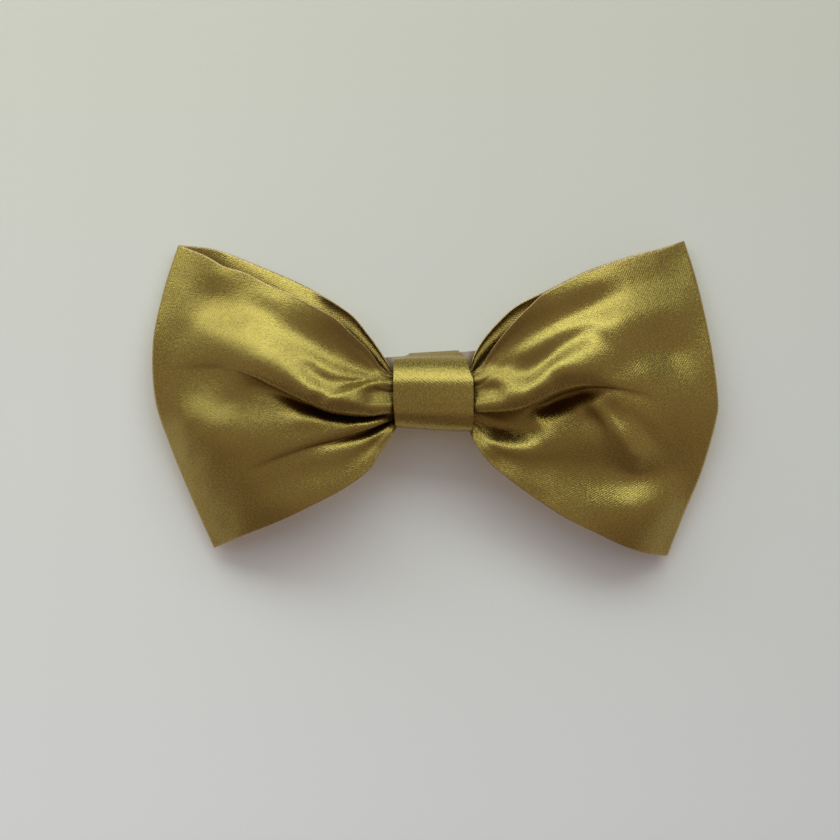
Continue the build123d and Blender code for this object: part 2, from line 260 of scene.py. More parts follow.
def rim(edge, inner, normals, half, angles):
    """Columns of points round a sheet's edge, from one face to the other."""
    outward = edge - inner
    outward = unit(outward - (outward * normals).sum(-1, keepdims=True) * normals)
    return np.stack([edge + half * (math.sin(a) * normals + math.cos(a) * outward)
                     for a in angles], axis=1)


def end_cap(start, cols):
    """Faces that close an end of a sheet whose ring of points begins at `start`."""
    rim_size = len(RIM_ANGLES)
    ring = list(range(start, start + 2 * (cols + rim_size)))
    front, ring = ring[:cols], ring[cols:]
    last_rim, ring = ring[:rim_size], ring[rim_size:]
    back, first_rim = ring[:cols][::-1], ring[cols:]
    faces = [(front[j], front[j + 1], back[j + 1], back[j]) for j in range(cols - 1)]
    faces.append((front[-1], *last_rim, back[-1]))
    faces.append((back[0], *first_rim, front[0]))
    return faces


def sheet(name, grid, thickness, uv, closed=False):
    """A thin solid about a grid, its long edges rounded. `closed` joins the last row to the first."""
    rows, cols = grid.shape[:2]
    if closed:
        normals = normals_of(np.concatenate([grid[-2:], grid, grid[:2]]))[2:-2]
    else:
        normals = normals_of(grid)
    half = thickness / 2
    last_rim = rim(grid[:, -1], grid[:, -2], normals[:, -1], half, RIM_ANGLES[::-1])
    first_rim = rim(grid[:, 0], grid[:, 1], normals[:, 0], half, RIM_ANGLES)
    front, back = grid + half * normals, grid - half * normals
    points = np.concatenate([front, last_rim, back[:, ::-1], first_rim], axis=1)
    last_uv, first_uv = (np.repeat(uv[:, k:k + 1], len(RIM_ANGLES), axis=1) for k in (cols - 1, 0))
    coords = np.concatenate([uv, last_uv, uv[:, ::-1], first_uv], axis=1)
    around = points.shape[1]
    faces = quads(rows, around, joined=closed)
    if not closed:
        faces += end_cap(0, cols)
        faces += [face[::-1] for face in end_cap((rows - 1) * around, cols)]
    return solid(name, points.reshape(-1, 3), faces, coords.reshape(-1, 2))


def tube(name, path, radius, closed=False, sides=10):
    """A round cord along a path. An open cord comes to a blunt point at both ends."""
    p = np.asarray(path, float)
    count = len(p)
    if closed:
        tangents = unit(np.roll(p, -1, axis=0) - np.roll(p, 1, axis=0))
    else:
        tangents = unit(np.gradient(p, axis=0))
    no_tangent = (1.0, 0.05, 0.02)    # a direction that none of the paths takes
    side = unit(np.cross(tangents, no_tangent))
    other = np.cross(tangents, side)
    angles = full_turn(sides)[:, None]
    rings = p[:, None] + radius * (np.cos(angles) * side[:, None] + np.sin(angles) * other[:, None])
    points = list(rings.reshape(-1, 3))
    faces = quads(count, sides, joined=closed)
    if not closed:
        for end, inward in ((0, 1), (count - 1, -1)):
            tip = len(points)
            points.append(p[end] - inward * tangents[end] * radius * 0.7)
            ring = [end * sides + k for k in range(sides)]
            faces += [(ring[k], ring[(k + 1) % sides], tip) for k in range(sides)]
    return solid(name, points, faces)


# ------------------------------------------------------------------ the loops
# Edges of each loop as seen from the front: (x, z), and the front layer's depth there.
LEFT_FOLD = [(-69.9, -48.9, 3), (-77.5, -32, 4.6), (-84.0, -16, 5.2), (-88.6, -1.9, 5.8),
             (-89.4, 15.7, 5.4), (-86.2, 32, 3.8), (-81.3, 47.4, 2.6)]
RIGHT_FOLD = [(74.7, -51.5, 3), (79.6, -39, 4.2), (85.7, -24.3, 5.0), (90.2, -8.6, 6.0),
              (90.8, -0.6, 6.0), (88.6, 15.7, 5.4), (84.4, 34.8, 3.4), (80.1, 48.7, 2.0)]
LEFT_FRONT_TOP = [(-10, 5.2, 16.5), (-12.9, 5.9, 17), (-16.8, 8.6, 18.8), (-20.9, 14.1, 21),
                  (-25.9, 18.9, 22.6), (-31.3, 24, 23.2), (-36.8, 27.2, 22), (-45.1, 31.6, 19.4),
                  (-52.1, 34.5, 16.9), (-60.4, 38.7, 13.2), (-66.7, 40.6, 10.5), (-72.9, 44.1, 7.5),
                  (-81.3, 47.4, 2.6)]
RIGHT_FRONT_TOP = [(10, 5.6, 16.5), (12.3, 6.6, 17), (15.9, 9.3, 18.6), (18, 12.8, 20),
                   (21.6, 17.8, 21.8), (26.5, 23.5, 23), (31.6, 28.5, 23), (35.8, 32.1, 22.4),
                   (46.5, 37.3, 18.9), (53.7, 40.3, 16), (64.3, 43.8, 11.6), (73.7, 46.2, 6.6),
                   (80.1, 48.7, 2.0)]
LEFT_BOTTOM = [(-10, -9.5, 16.5), (-11.5, -10.5, 17), (-16.9, -18.5, 18.3), (-21.1, -24.6, 19.1),
               (-29.7, -30.7, 20.4), (-39, -35.5, 21), (-48.9, -40.3, 19.6), (-60, -44.8, 13.4),
               (-69.9, -48.9, 3)]
RIGHT_BOTTOM = [(10, -9.5, 16.5), (11.5, -11.8, 17), (16.6, -20.1, 18), (23.7, -26.5, 18.2),
                (32.3, -32.9, 16.2), (42.2, -39.3, 15.2), (52.3, -44.3, 16.2), (60.7, -48.3, 15.4),
                (68, -50.7, 10.2), (74.7, -51.5, 3)]
LEFT_BACK_TOP = [(-10, 5.5), (-12.6, 7.0), (-17.4, 14.1), (-20.9, 18.9), (-27.2, 25.9),
                 (-40.9, 34.2), (-57.5, 41.4), (-70, 46), (-81.3, 47.4)]
RIGHT_BACK_TOP = [(10, 6.2), (12.1, 9.3), (13.7, 13.4), (16.6, 17.9), (20.8, 22.7), (26.5, 27.8),
                  (35.8, 32.6), (46.5, 37.9), (53.7, 40.8), (64.3, 44.2), (73.7, 46.6), (80.1, 48.7)]
LEFT_BACK_BOTTOM = [(-10, -9), (-13, -10.5), (-18, -17.5), (-23, -22.8), (-31, -28.4),
                    (-40, -33.5), (-50, -38.8), (-61, -43.8), (-69.9, -48.9)]
RIGHT_BACK_BOTTOM = [(10, -9), (13, -11.5), (18, -18), (25, -24.6), (33.5, -30.9),
                     (43, -37.2), (53, -42.4), (61.5, -46.2), (68, -49), (74.7, -51.5)]

# Lines over each front layer, from the knot outwards: (x, z, depth).
LEFT_LINES = {
    "flat_under_top_edge": [(-15, 6.2, 18), (-20, 10.6, 19.9), (-25, 15, 21.4), (-30, 19.5, 22.2),
                            (-40, 24.5, 21.3), (-50, 29.5, 19), (-60, 34.5, 14.2),
                            (-70, 39.5, 9.6), (-79, 41.5, 5.1)],
    "hollow_under_top_edge": [(-20, 6.6, 19.6), (-25, 7.4, 20.9), (-30, 9.4, 21.7), (-35, 11.6, 21.9),
                              (-40, 16.2, 21.4), (-45, 20.4, 21), (-50, 24.6, 19.9),
                              (-60, 29, 15.5), (-70, 31.4, 10.4), (-79, 32, 7.1)],
    "crest_of_second_streak": [(-20, 5.2, 20.4), (-25, 5, 22.2), (-30, 6, 23.6),
                               (-35, 7.8, 23.8), (-40, 12, 23.4)],
    "valley_between_streaks": [(-20, 4.6, 20.4), (-25, 3.8, 22), (-30, 4.2, 23.6),
                               (-35, 4.4, 24), (-40, 8.6, 24.1)],
    "broad_streak": [(-60, 22.6, 18.4), (-70, 25, 12.4), (-80, 25, 8.1)],
    "crest_of_upper_roll": [(-11, 3.2, 18.6), (-15, 3.8, 20.2), (-20, 3.4, 22), (-25, 2, 23.8),
                            (-30, 1, 25.2), (-34, 0.6, 25.7), (-40, 5, 25.5),
                            (-45, 9.4, 25.6), (-50, 13, 24.9), (-55, 15.6, 23.1), (-60, 17.2, 20.9),
                            (-70, 20.4, 14.5), (-80, 19, 9)],
    "brow_of_crease": [(-40, -1.2, 25.6), (-45, 1.6, 25.8), (-50, 3.6, 25.3), (-55, 5.8, 24),
                       (-60, 8, 22), (-70, 10.6, 15.9), (-79, 11, 10.6)],
    "dish_by_the_knot": [(-12, 0.6, 18.4), (-16, 0.6, 20), (-20, 0.8, 21.7)],
    "crescent_by_the_knot": [(-12, -1.4, 18.9), (-16, -2.6, 21.3), (-20, -2.8, 23)],
    "lip_of_upper_roll": [(-11, -3.6, 19.2), (-16, -4.4, 21.6), (-22, -4.8, 23.8), (-28, -4.4, 25.2),
                          (-34, -3, 25.7)],
    "fall_under_upper_roll": [(-22, -7.6, 20.4), (-30, -7.2, 21), (-36, -5.4, 21.3),
                              (-42, -3, 21.6), (-50, -0.4, 21.8), (-56, 2.4, 21.2)],
    "floor_of_fold": [(-30, -9, 21.3), (-40, -8, 21.6), (-46, -7.6, 21.4), (-52, -6, 20.9),
                      (-57, -5, 20.2)],
    "under_upper_roll": [(-62, -4, 19.2), (-70, -1.6, 16.2), (-79, 0, 11.4)],
    "crest_of_middle_roll": [(-12, -6.4, 18.4), (-20, -8.8, 20.6), (-30, -10.6, 21.6),
                             (-40, -11.6, 21.8), (-50, -11, 21.8), (-60, -11, 20.8),
                             (-70, -11, 18.2), (-79, -10, 12.8)],
    "flat_of_middle_roll": [(-30, -12.6, 21.7), (-40, -15.6, 21.9), (-50, -18.6, 21.9),
                            (-60, -20.6, 20.4), (-70, -21, 16.2), (-79, -19, 10)],
    "lower_slope": [(-20, -15.5, 18.1), (-30, -20, 20), (-40, -24.5, 20.8), (-50, -27, 21),
                    (-60, -28.5, 19), (-70, -30, 12.6), (-77, -29, 7)],
    "lower_crest": [(-24, -20.5, 19), (-32, -27, 20.4), (-40, -31.6, 21.2), (-50, -35.6, 20.6),
                    (-60, -38.8, 16), (-68, -42, 8.6)],
}
# A crease has a lip with a hollow under it: (x, z, depth of the hollow, how far the lip hangs
# over it, width of the hollow).
LEFT_CREASES = [
    [(-9, -5.2, 2, 0.8, 1.4), (-14, -5.9, 3.2, 1.2, 1.6), (-21.7, -6.7, 4.6, 1.8, 1.5),
     (-31.3, -5.4, 5.6, 2.4, 1.9), (-38.4, -2.8, 5.4, 2.6, 2.4), (-49.2, 2.0, 3.6, 2.0, 3.2),
     (-59.1, 6.2, 1.1, 1.0, 4.6), (-67.5, 8.5, 0.8, 0.3, 6), (-76, 8.6, 0.5, 0, 7),
     (-84, 7.6, 0, 0, 7)],
    [(-9, -6.6, 2, 0.5, 1.4), (-14, -8.6, 3.6, 0.9, 1.8), (-20, -11, 4.2, 1.1, 2.2),
     (-30, -14.2, 2.4, 0.9, 2.4), (-40, -17, 1, 0.4, 3.4), (-50, -20.6, 0.5, 0.1, 3.6),
     (-60, -24.8, 0, 0, 3)],
]
# Ridges and, with a height below zero, valleys: (x, z, height, half width).
LEFT_RIDGES = [
    [(-12, -9, 0.4, 0.9), (-17, -12, 0.6, 1.2), (-22, -15.6, 0.4, 1.5), (-28, -19.6, 0.2, 2),
     (-34, -24, 0, 2.4)],
    [(-11, 2.8, 0.2, 1), (-15, 3.4, 0.4, 1.1), (-20, 3.2, 0.6, 1.3), (-26, 1.4, 0.7, 1.5),
     (-31, -1, 0.4, 1.7), (-35, -1.4, 0, 1.8)],
]
RIGHT_LINES = {
    "flat_under_top_edge": [(15, 7.6, 18.4), (20, 13, 20.2), (25, 19, 21.8), (30, 23.5, 22.2),
                            (36, 27.6, 22), (40, 30.4, 21.3), (50, 35.6, 18.3), (60, 39, 14.2),
                            (70, 42, 9.4), (77, 44, 5)],
    "hollow_under_top_edge": [(20, 11, 20), (25, 14, 21.1), (30, 17.2, 21.5), (36, 20.8, 21.3),
                              (40, 22.8, 20.8), (46, 25.2, 19.4), (50, 27.4, 18.2), (60, 33.4, 15.2),
                              (70, 35.4, 10.6), (78, 36, 6.4)],
    "crest_of_second_streak": [(20, 9.6, 19.9), (25, 11.2, 21.3), (30, 13.6, 22.4), (36, 16.8, 22.5),
                               (40, 19.3, 22), (46, 21.6, 20.9), (50, 22.6, 20.2)],
    "valley_between_streaks": [(20, 8.8, 20), (25, 7.6, 21.7), (30, 5.8, 22.6), (36, 10, 22.5),
                               (40, 14.4, 22.1), (46, 18.6, 21.3), (50, 21, 20.6)],
    "crest_of_main_roll": [(11, 4.6, 18.6), (15, 5.4, 20.3), (20, 5, 21.6), (25, 3, 24),
                           (30, 2, 25), (36, 6.2, 24.8), (40, 10.4, 24.4), (46, 13.4, 24),
                           (50, 15, 23.2), (55, 16, 21.6)],
    "end_of_outer_streak": [(55, 21.4, 20.8), (60, 24.4, 18.7), (70, 27.6, 13.4), (80, 28, 8)],
    "outer_dish": [(60, 15.5, 19.8), (68, 13, 15.2), (76, 13, 10.4)],
    "outer_shelf": [(60, 7, 20), (68, 7, 16.9), (76, 7, 12.2)],
    "outer_flat": [(60, 0, 20.3), (70, -2, 16.6), (78, -4, 12.6), (84, -4, 9.4)],
    "brow_of_crease": [(30, -1.4, 25.1), (36, 2, 25), (40, 4.4, 24.6), (46, 5, 24.5), (52, 6, 23.2)],
    "dish_by_the_knot": [(12, 2.2, 18.4), (16, 2.4, 20), (20, 1.6, 21.3)],
    "crescent_by_the_knot": [(12, -1.6, 18.9), (16, -2.4, 21.4), (20, -2.2, 22.7)],
    "lip_of_main_roll": [(11, -3.6, 19.2), (16, -4, 21.6), (22, -3.8, 23.6), (27, -3, 24.6)],
    "fall_under_main_roll": [(33, -5.4, 19), (38, -3, 18.2), (44, -1.6, 18), (50, -1.4, 18.6)],
    "pocket_floor": [(14, -9.2, 16.6), (20, -11.2, 15.5), (26, -12.6, 15.3), (31, -11.6, 15.2),
                     (38, -10, 15.2), (44, -9.6, 15), (50, -8, 15.4)],
    "pocket_lip": [(20, -15.2, 18.6), (26, -17.4, 18.2), (32, -17, 17.2), (38, -13.8, 15.5),
                   (45, -13.4, 15.2), (52, -14, 16.2)],
    "right_of_arc": [(57, 1, 21.4), (60, -5, 19.5), (61, -13, 18.8), (65, -20, 17)],
    "outer_lower_flat": [(70, -11, 16), (78, -14, 11.2)],
    "above_belly": [(22, -19.4, 18.2), (30, -21.4, 16.8), (38, -22.5, 14.4), (46, -23.5, 13.7),
                    (54, -24, 14.6), (62, -24.6, 15), (70, -26, 12.2), (78, -25, 8.4)],
    "crest_of_belly": [(33, -29, 16), (40, -32.5, 14.7), (47, -34, 14.9), (54, -35.4, 16.4),
                       (62, -36, 16.8), (70, -36, 13.9), (76, -35, 9.4)],
}
RIGHT_CREASES = [
    [(9, -5.3, 2, 0.8, 1.6), (14, -5.7, 3.6, 1.2, 3), (20, -5.4, 5, 1.6, 4.6),
     (26, -4.8, 6, 2.0, 4.8), (32, -2.9, 8, 2.4, 4.6), (39, 0.3, 9, 2.4, 5.2),
     (45.4, 2.1, 7.4, 2, 5), (51.8, 2.6, 3.8, 1.4, 4), (59, 1.7, 0.9, 0.7, 3),
     (66, 0, 0.4, 0, 3.4), (74, -2.6, 0, 0, 3.4)],
]
RIGHT_RIDGES = [
    [(29, -3.5, 0, 2.4), (31.4, -6.5, 0.9, 2.6), (33.8, -10, 0.9, 2.8), (35.8, -13.6, 0.5, 3),
     (37, -17, 0, 3)],
    [(46, -1, 0, 2.2), (50.4, -3, 1, 2.2), (54.6, -6.8, 1.7, 2.4), (58.4, -12.5, 1.6, 2.6),
     (62, -18.5, 1, 3), (67, -25, 0, 3)],
    [(62, -4, 0, 3), (65, -9, -0.7, 3), (69.5, -15, -0.8, 3.4), (74, -21, 0, 3.4)],
]


def beside(xz, line):
    """Nearest place on a line, the way down from it, the distance below it, and a fade past its ends."""
    side = math.copysign(1.0, line[-1, 0])
    flat = xz.reshape(-1, 2)
    nearest = np.empty(len(flat), int)
    for part in np.array_split(np.arange(len(flat)), CHUNKS):
        gap = ((flat[part, None] - line[None, :, :2]) ** 2).sum(-1)
        nearest[part] = gap.argmin(axis=1)
    nearest = nearest.reshape(xz.shape[:-1])
    heading = unit(np.gradient(line[:, :2], axis=0))
    down = np.stack([side * heading[:, 1], -side * heading[:, 0]], axis=-1)[nearest]
    offset = xz - line[nearest, :2]
    below = (offset * down).sum(-1)
    past_end = np.linalg.norm(offset - below[..., None] * down, axis=-1)
    return nearest, down, below, np.exp(-(past_end / LINE_FADE) ** 2)


def tuck(xz, depth, path):
    """Digs the hollow under a crease's lip and lets the lip hang over it."""
    line = curve(path, np.linspace(0, 1, 260))
    nearest, down, below, fade = beside(xz, line)
    hollow, overhang, width = line[nearest, 2] * fade, line[nearest, 3] * fade, line[nearest, 4]
    lip = np.clip(-below / LIP_REACH, 0, 1)
    rounding = 1 - np.sqrt(1 - (1 - lip) ** 2)
    under = np.exp(-(np.clip(below, 0, None) / width) ** 2)
    depth = depth - hollow * np.where(below < 0, rounding, under)
    hang = overhang * np.where(below < 0, np.sin(math.pi * lip) * (1 - lip) ** 0.5, 0)
    return xz + hang[..., None] * down, depth


def raise_ridge(xz, depth, path):
    """Adds a rounded ridge along a line."""
    line = curve(path, np.linspace(0, 1, 160))
    nearest, _, below, fade = beside(xz, line)
    return depth + line[nearest, 2] * fade * np.exp(-(below / line[nearest, 3]) ** 2)


def soften(field, passes):
    """Averages a grid with its neighbours; the rims stay."""
    for _ in range(passes):
        field[1:-1] = 0.25 * field[:-2] + 0.5 * field[1:-1] + 0.25 * field[2:]
        field[:, 1:-1] = 0.25 * field[:, :-2] + 0.5 * field[:, 1:-1] + 0.25 * field[:, 2:]
    return field


def patch(side, fold, top, bottom, u, v):
    """The (x, z) of one layer, and each point's distance from the fold."""
    waist = [bottom[0][:2], (side * LOOP_START_X, -4), (side * LOOP_START_X, 1), top[0][:2]]
    edges = [[point[:2] for point in edge] for edge in (bottom, top, waist, fold)]
    xz = coons(*edges, u, v)
    return xz, np.linalg.norm(xz - xz[-1:], axis=-1)


def leave_fold(distance):
    """Depth that a layer gains or loses at a distance from the fold: it leaves in a quarter circle."""
    turn = np.clip(distance / FOLD_RADIUS, 0, 1)
    return FOLD_RADIUS * np.sqrt(1 - (1 - turn) ** 2)


def hold_under_band(xz, depth):
    """Keeps a layer inside the band's oval, and lets it come free outside the band."""
    height = (xz[..., 1] - INSIDE_BAND_MIDDLE) / INSIDE_BAND_HALF_HEIGHT
    oval = WAIST_DEPTH + INSIDE_BAND_HALF_DEPTH * np.sqrt(np.clip(1 - height ** 2, 0.05, 1))
    limit = oval + FREE_SLOPE * np.clip(np.abs(xz[..., 0]) - BAND_EDGE_X, 0, None)
    # The lesser of the two depths, with the corner between them rounded.
    return 0.5 * (depth + limit - np.sqrt((depth - limit) ** 2 + 0.3))


def front_layer(side, fold, top, bottom, lines, creases, ridges, u, v):
    """The front layer of a loop, from the waist to the fold."""
    xz, from_fold = patch(side, fold, top, bottom, u, v)
    held_at = [along(line) for line in (fold, top, bottom, *lines.values())]
    depth = thin_plate(np.vstack(held_at), xz)
    for path in ridges:
        depth = raise_ridge(xz, depth, path)
    for path in creases:
        xz, depth = tuck(xz, depth, path)
    # Small pleats crowd into the knot and die out within two or three centimetres.
    out = np.clip(np.abs(xz[..., 0]) - LOOP_START_X, 0, None)
    pleats = ripple(v[None, :], (0.16, 7.3, 0.13 * side), (0.08, 12.1, 0.4))
    depth = depth + pleats * np.exp(-out / 8) * smooth_step(out / 3)
    depth = soften(hold_under_band(xz, depth), 2)
    return place(xz, depth + leave_fold(from_fold))


def lean_back(xz, u, v):
    """How far the back layer's edges lean back towards the surface the bow lies on.

    The upper one does so in mid-span only, fully from 40 to 64 beside the knot's middle: its ends
    stay upright and dark."""
    below_top = np.linalg.norm(xz - xz[:, -1:], axis=-1)
    outward = np.abs(xz[..., 0])
    mid_span = smooth_step((outward - 32) / 8) * smooth_step((74 - outward) / 10)
    upper = UPPER_LEAN * mid_span * np.clip(1 - below_top / UPPER_LEAN_HEIGHT, 0, 1) ** 2
    lower = LOWER_LEAN * smooth_step((LOWER_LEAN_SHARE - v[None, :]) / LOWER_LEAN_SHARE)
    return (upper + lower) * np.sin(math.pi * u ** 0.8)[:, None]


def back_layer(side, fold, top, bottom, u, v):
    """The back layer of a loop, from the waist to the fold."""
    xz, from_fold = patch(side, fold, top, bottom, u, v)
    profile = curve(BACK_PROFILE, u)
    free_depth = np.interp(u, profile[:, 0], profile[:, 1])[:, None] - lean_back(xz, u, v)
    # Soft waves fan out of the waist and are strongest a third of the way to the fold.
    fan = np.exp(-((u - 0.32) / 0.3) ** 2)[:, None]
    free_depth = free_depth + fan * ripple(v[None, :], (0.7, 3.1, 0.2), (0.4, 5.3, 0.65),
                                           (0.2, 8.9, 0.1))
    near_fold = curve(fold, v)[None, :, 2] - leave_fold(from_fold)
    freed = smooth_step(from_fold / FOLD_BLEND)
    depth = near_fold * (1 - freed) + free_depth * freed
    return place(xz, np.maximum(depth, CLOTH_THICKNESS / 2 + BACK_CLEARANCE))


def loop(name, side, fold, front_top, front_bottom, back_top, back_bottom, lines, creases, ridges):
    """One loop of the strip: the front layer out to the fold, then the back layer home."""
    # The rows crowd a little towards the waist and more towards the fold.
    u = spread(GRID_ALONG, 1.15, 1.7)
    v = np.linspace(0, 1, GRID_ACROSS)
    front = front_layer(side, fold, front_top, front_bottom, lines, creases, ridges, u, v)
    back = back_layer(side, fold, back_top, back_bottom, u, v)
    grid = np.concatenate([front, back[::-1][1:]])
    run = running_length(np.linalg.norm(np.diff(grid, axis=0), axis=-1).mean(axis=1))
    uv = np.stack(np.broadcast_arrays(run[:, None] * MM, v * STRIP_WIDTH_M), axis=-1)
    return sheet(name, grid, CLOTH_THICKNESS, uv)


left_loop = loop("left_loop", -1, LEFT_FOLD, LEFT_FRONT_TOP, LEFT_BOTTOM, LEFT_BACK_TOP,
                 LEFT_BACK_BOTTOM, LEFT_LINES, LEFT_CREASES, LEFT_RIDGES)
right_loop = loop("right_loop", 1, RIGHT_FOLD, RIGHT_FRONT_TOP, RIGHT_BOTTOM, RIGHT_BACK_TOP,
                  RIGHT_BACK_BOTTOM, RIGHT_LINES, RIGHT_CREASES, RIGHT_RIDGES)


# ------------------------------------------------------------------ waist, threads and knot band
def waist_bundle():
    """The pleated middle of the strip: a bundle whose outline is scalloped by its pleats."""
    rows, around = 25, 220
    x = np.linspace(-WAIST_HALF_LENGTH, WAIST_HALF_LENGTH, rows)[:, None]
    angle = full_turn(around)
    pleat = 0.32 * np.abs(np.sin(9 * angle)) + 0.15 * np.sin(23 * angle + 1) - PLEAT_INSET
    pinch = 1 - WAIST_PINCH * np.exp(-(x / 3.2) ** 2)
    y = -WAIST_DEPTH - (WAIST_HALF_DEPTH * pinch + pleat) * np.cos(angle)
    z = KNOT_Z + (WAIST_HALF_HEIGHT * pinch + pleat) * np.sin(angle)
    points = np.stack(np.broadcast_arrays(x, y, z), axis=-1).reshape(-1, 3)
    left_end = tuple(range(around))
    right_end = tuple(range((rows - 1) * around, rows * around))[::-1]
    return solid("waist", points, quads(rows, around) + [left_end, right_end])


def knot_band():
    """The band as rings round the waist and the clip, narrower behind than in front."""
    around, across = 260, 61
    section = curve(BAND_SECTION + BAND_SECTION[:1], np.linspace(0, 1, around, endpoint=False))
    depth, height = section[:, :1], section[:, 1:]
    t = np.linspace(-1, 1, across)[None]
    # The band narrows between depths of 14 and 9.
    behind = smooth_step((14.0 - depth) / 5.0)
    before = 1 - behind
    left_behind, right_behind = BAND_REACH_BEHIND
    left = -BAND_HALF_WIDTH + (BAND_HALF_WIDTH + left_behind) * behind
    right = BAND_HALF_WIDTH + (right_behind - BAND_HALF_WIDTH) * behind
    # The upper right corner is drawn in where the band turns back over the clip, and the lower
    # left one a little less. The left edge as a whole stands slightly further out.
    right = right - 1.6 * smooth_step((height + 4.0) / 6.0) * before
    left = left + 0.5 * smooth_step((-8 - height) / 10) * before - 0.2
    x = left + (t + 1) / 2 * (right - left)
    # The front is a little fuller in the middle, and hangs lower at its right end. The top is
    # tilted nearly as much as the clip.
    fuller = 0.22 * (1 - t ** 2) * before
    droop = -0.7 * t * smooth_step((-12 - height) / 6)
    tilt = math.tan(math.radians(3.4)) * x * smooth_step((height - 2.6) / 2.2)
    outward = unit(section - np.array(BAND_CORE))
    y = -(depth + outward[:, :1] * fuller)
    z = height + outward[:, 1:] * fuller + droop + tilt
    run = running_length(np.linalg.norm(np.diff(section, axis=0), axis=1))
    on_strip = STRIP_WIDTH_M / 2 + t * BAND_HALF_WIDTH_M
    uv = np.stack(np.broadcast_arrays(run[:, None] * MM, on_strip), axis=-1)
    return sheet("knot_wrap", np.stack([x, y, z], axis=-1), BAND_THICKNESS, uv, closed=True)


def gather_turn(number):
    """One turn of the gathering thread, sunk into the pinched waist and a little askew."""
    angle = full_turn(72)
    pinch = 1 - WAIST_PINCH
    over = THREAD_RADIUS + THREAD_CLEARANCE
    x = (number - THREAD_TURNS // 2) * THREAD_PITCH + 0.12 * np.sin(angle + number)
    depth = WAIST_DEPTH + (WAIST_HALF_DEPTH * pinch + over) * np.cos(angle)
    z = KNOT_Z + (WAIST_HALF_HEIGHT * pinch + over) * np.sin(angle)
    path = np.stack([x, -depth, z], axis=-1)
    return tube(f"gather_turn_{number + 1}", path, THREAD_RADIUS, closed=True)


def band_stitch(number):
    """One slanting stitch in the row that closes the band's lap. The row is where the CAD has it."""
    low, high = (np.array(corner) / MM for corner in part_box("band_stitches"))
    t = np.linspace(-1, 1, 14)
    x = low[0] + (high[0] - low[0]) * (number + 0.5) / STITCH_COUNT + 0.55 * t
    z = (low[2] + high[2]) / 2 + 1.15 * t
    depth = STITCH_DEPTH - 0.28 * (1 - t ** 2)
    return tube(f"band_stitch_{number + 1}", np.stack([x, -depth, z], axis=-1), STITCH_RADIUS)


waist = waist_bundle()
band = knot_band()
threads = [gather_turn(number) for number in range(THREAD_TURNS)]
stitches = [band_stitch(number) for number in range(STITCH_COUNT)]


# ------------------------------------------------------------------ shader nodes
def fill(tree, made, inputs):
    """Sets a node's inputs. An input given as another node's output is linked to it."""
    for key, value in inputs.items():
        if isinstance(value, bpy.types.NodeSocket):
            tree.links.new(value, made.inputs[key])
        else:
            made.inputs[key].default_value = value


def node(tree, kind, inputs=None, **settings):
    """A new shader node with its settings made and its inputs filled."""
    made = tree.nodes.new(kind)
    for key, value in settings.items():
        setattr(made, key, value)
    fill(tree, made, inputs or {})
    return made


def noise(tree, vector, scale, detail, roughness=0.5):
    """A cloudy value that varies over a vector."""
    inputs = {"Vector": vector, "Scale": scale, "Detail": detail, "Roughness": roughness}
    return node(tree, "ShaderNodeTexNoise", inputs).outputs["Fac"]


def mapped(tree, vector, scale=(1, 1, 1), turn=0.0):
    """A vector scaled, then turned about its last axis."""
    inputs = {"Vector": vector, "Scale": scale, "Rotation": (0, 0, turn)}
    return node(tree, "ShaderNodeMapping", inputs).outputs["Vector"]


def remap(tree, value, start=(0, 1), end=(0, 1)):
    """A value carried from the range `start` to the range `end`, and held inside it."""
    inputs = {"Value": value, "From Min": start[0], "From Max": start[1],
              "To Min": end[0], "To Max": end[1]}
    return node(tree, "ShaderNodeMapRange", inputs).outputs["Result"]


def maths(tree, operation, *values):
    """One arithmetic step."""
    return node(tree, "ShaderNodeMath", dict(enumerate(values)), operation=operation).outputs["Value"]


def ramp(tree, value, *stops):
    """A colour that runs through (position, colour) stops as the value rises."""
    made = node(tree, "ShaderNodeValToRGB", {"Fac": value})
    elements = made.color_ramp.elements
    for element, (position, colour) in zip((elements[0], elements[1]), (stops[0], stops[-1])):
        element.position = position
        element.color = (*colour, 1)
    for position, colour in stops[1:-1]:
        elements.new(position).color = (*colour, 1)
    return made.outputs["Color"]


def blend(tree, share, first, second):
    """The first colour giving way to the second."""
    inputs = {"Fac": share, "Color1": first, "Color2": second}
    return node(tree, "ShaderNodeMixRGB", inputs).outputs["Color"]


def multiply(tree, first, second):
    """One colour multiplied by another."""
    inputs = {"Fac": 1.0, "Color1": first, "Color2": second}
    return node(tree, "ShaderNodeMixRGB", inputs, blend_type="MULTIPLY").outputs["Color"]


def bump(tree, height, strength, distance_m, inputs=None):
    """A surface normal that follows a height."""
    inputs = {"Height": height, "Strength": strength, "Distance": distance_m, **(inputs or {})}
    return node(tree, "ShaderNodeBump", inputs).outputs["Normal"]


def new_material(name):
    """A material, its node tree and its main shader."""
    material = bpy.data.materials.new(name)
    material.use_nodes = True
    tree = material.node_tree
    return material, tree, tree.nodes["Principled BSDF"]


# ------------------------------------------------------------------ materials
CLOTH_DARK = (0.36, 0.255, 0.066)
CLOTH_LIGHT = (0.42, 0.305, 0.082)
# Painted shade, multiplied into the satin's colour where its folds are deep.
PAINTED_FOLD_SHADE = (0.34, 0.18, 0.08)
# A painted highlight along the strip's turned edges.
TURNED_EDGE_HIGHLIGHT = (0.44, 0.30, 0.13)
THREAD_DARK = (0.16, 0.11, 0.035)
THREAD_LIGHT = (0.33, 0.25, 0.08)
RUBBED_METAL = (0.8, 0.78, 0.74)
BLACK = (0, 0, 0)
WHITE = (1, 1, 1)
TWILL_ANGLE = math.radians(38)


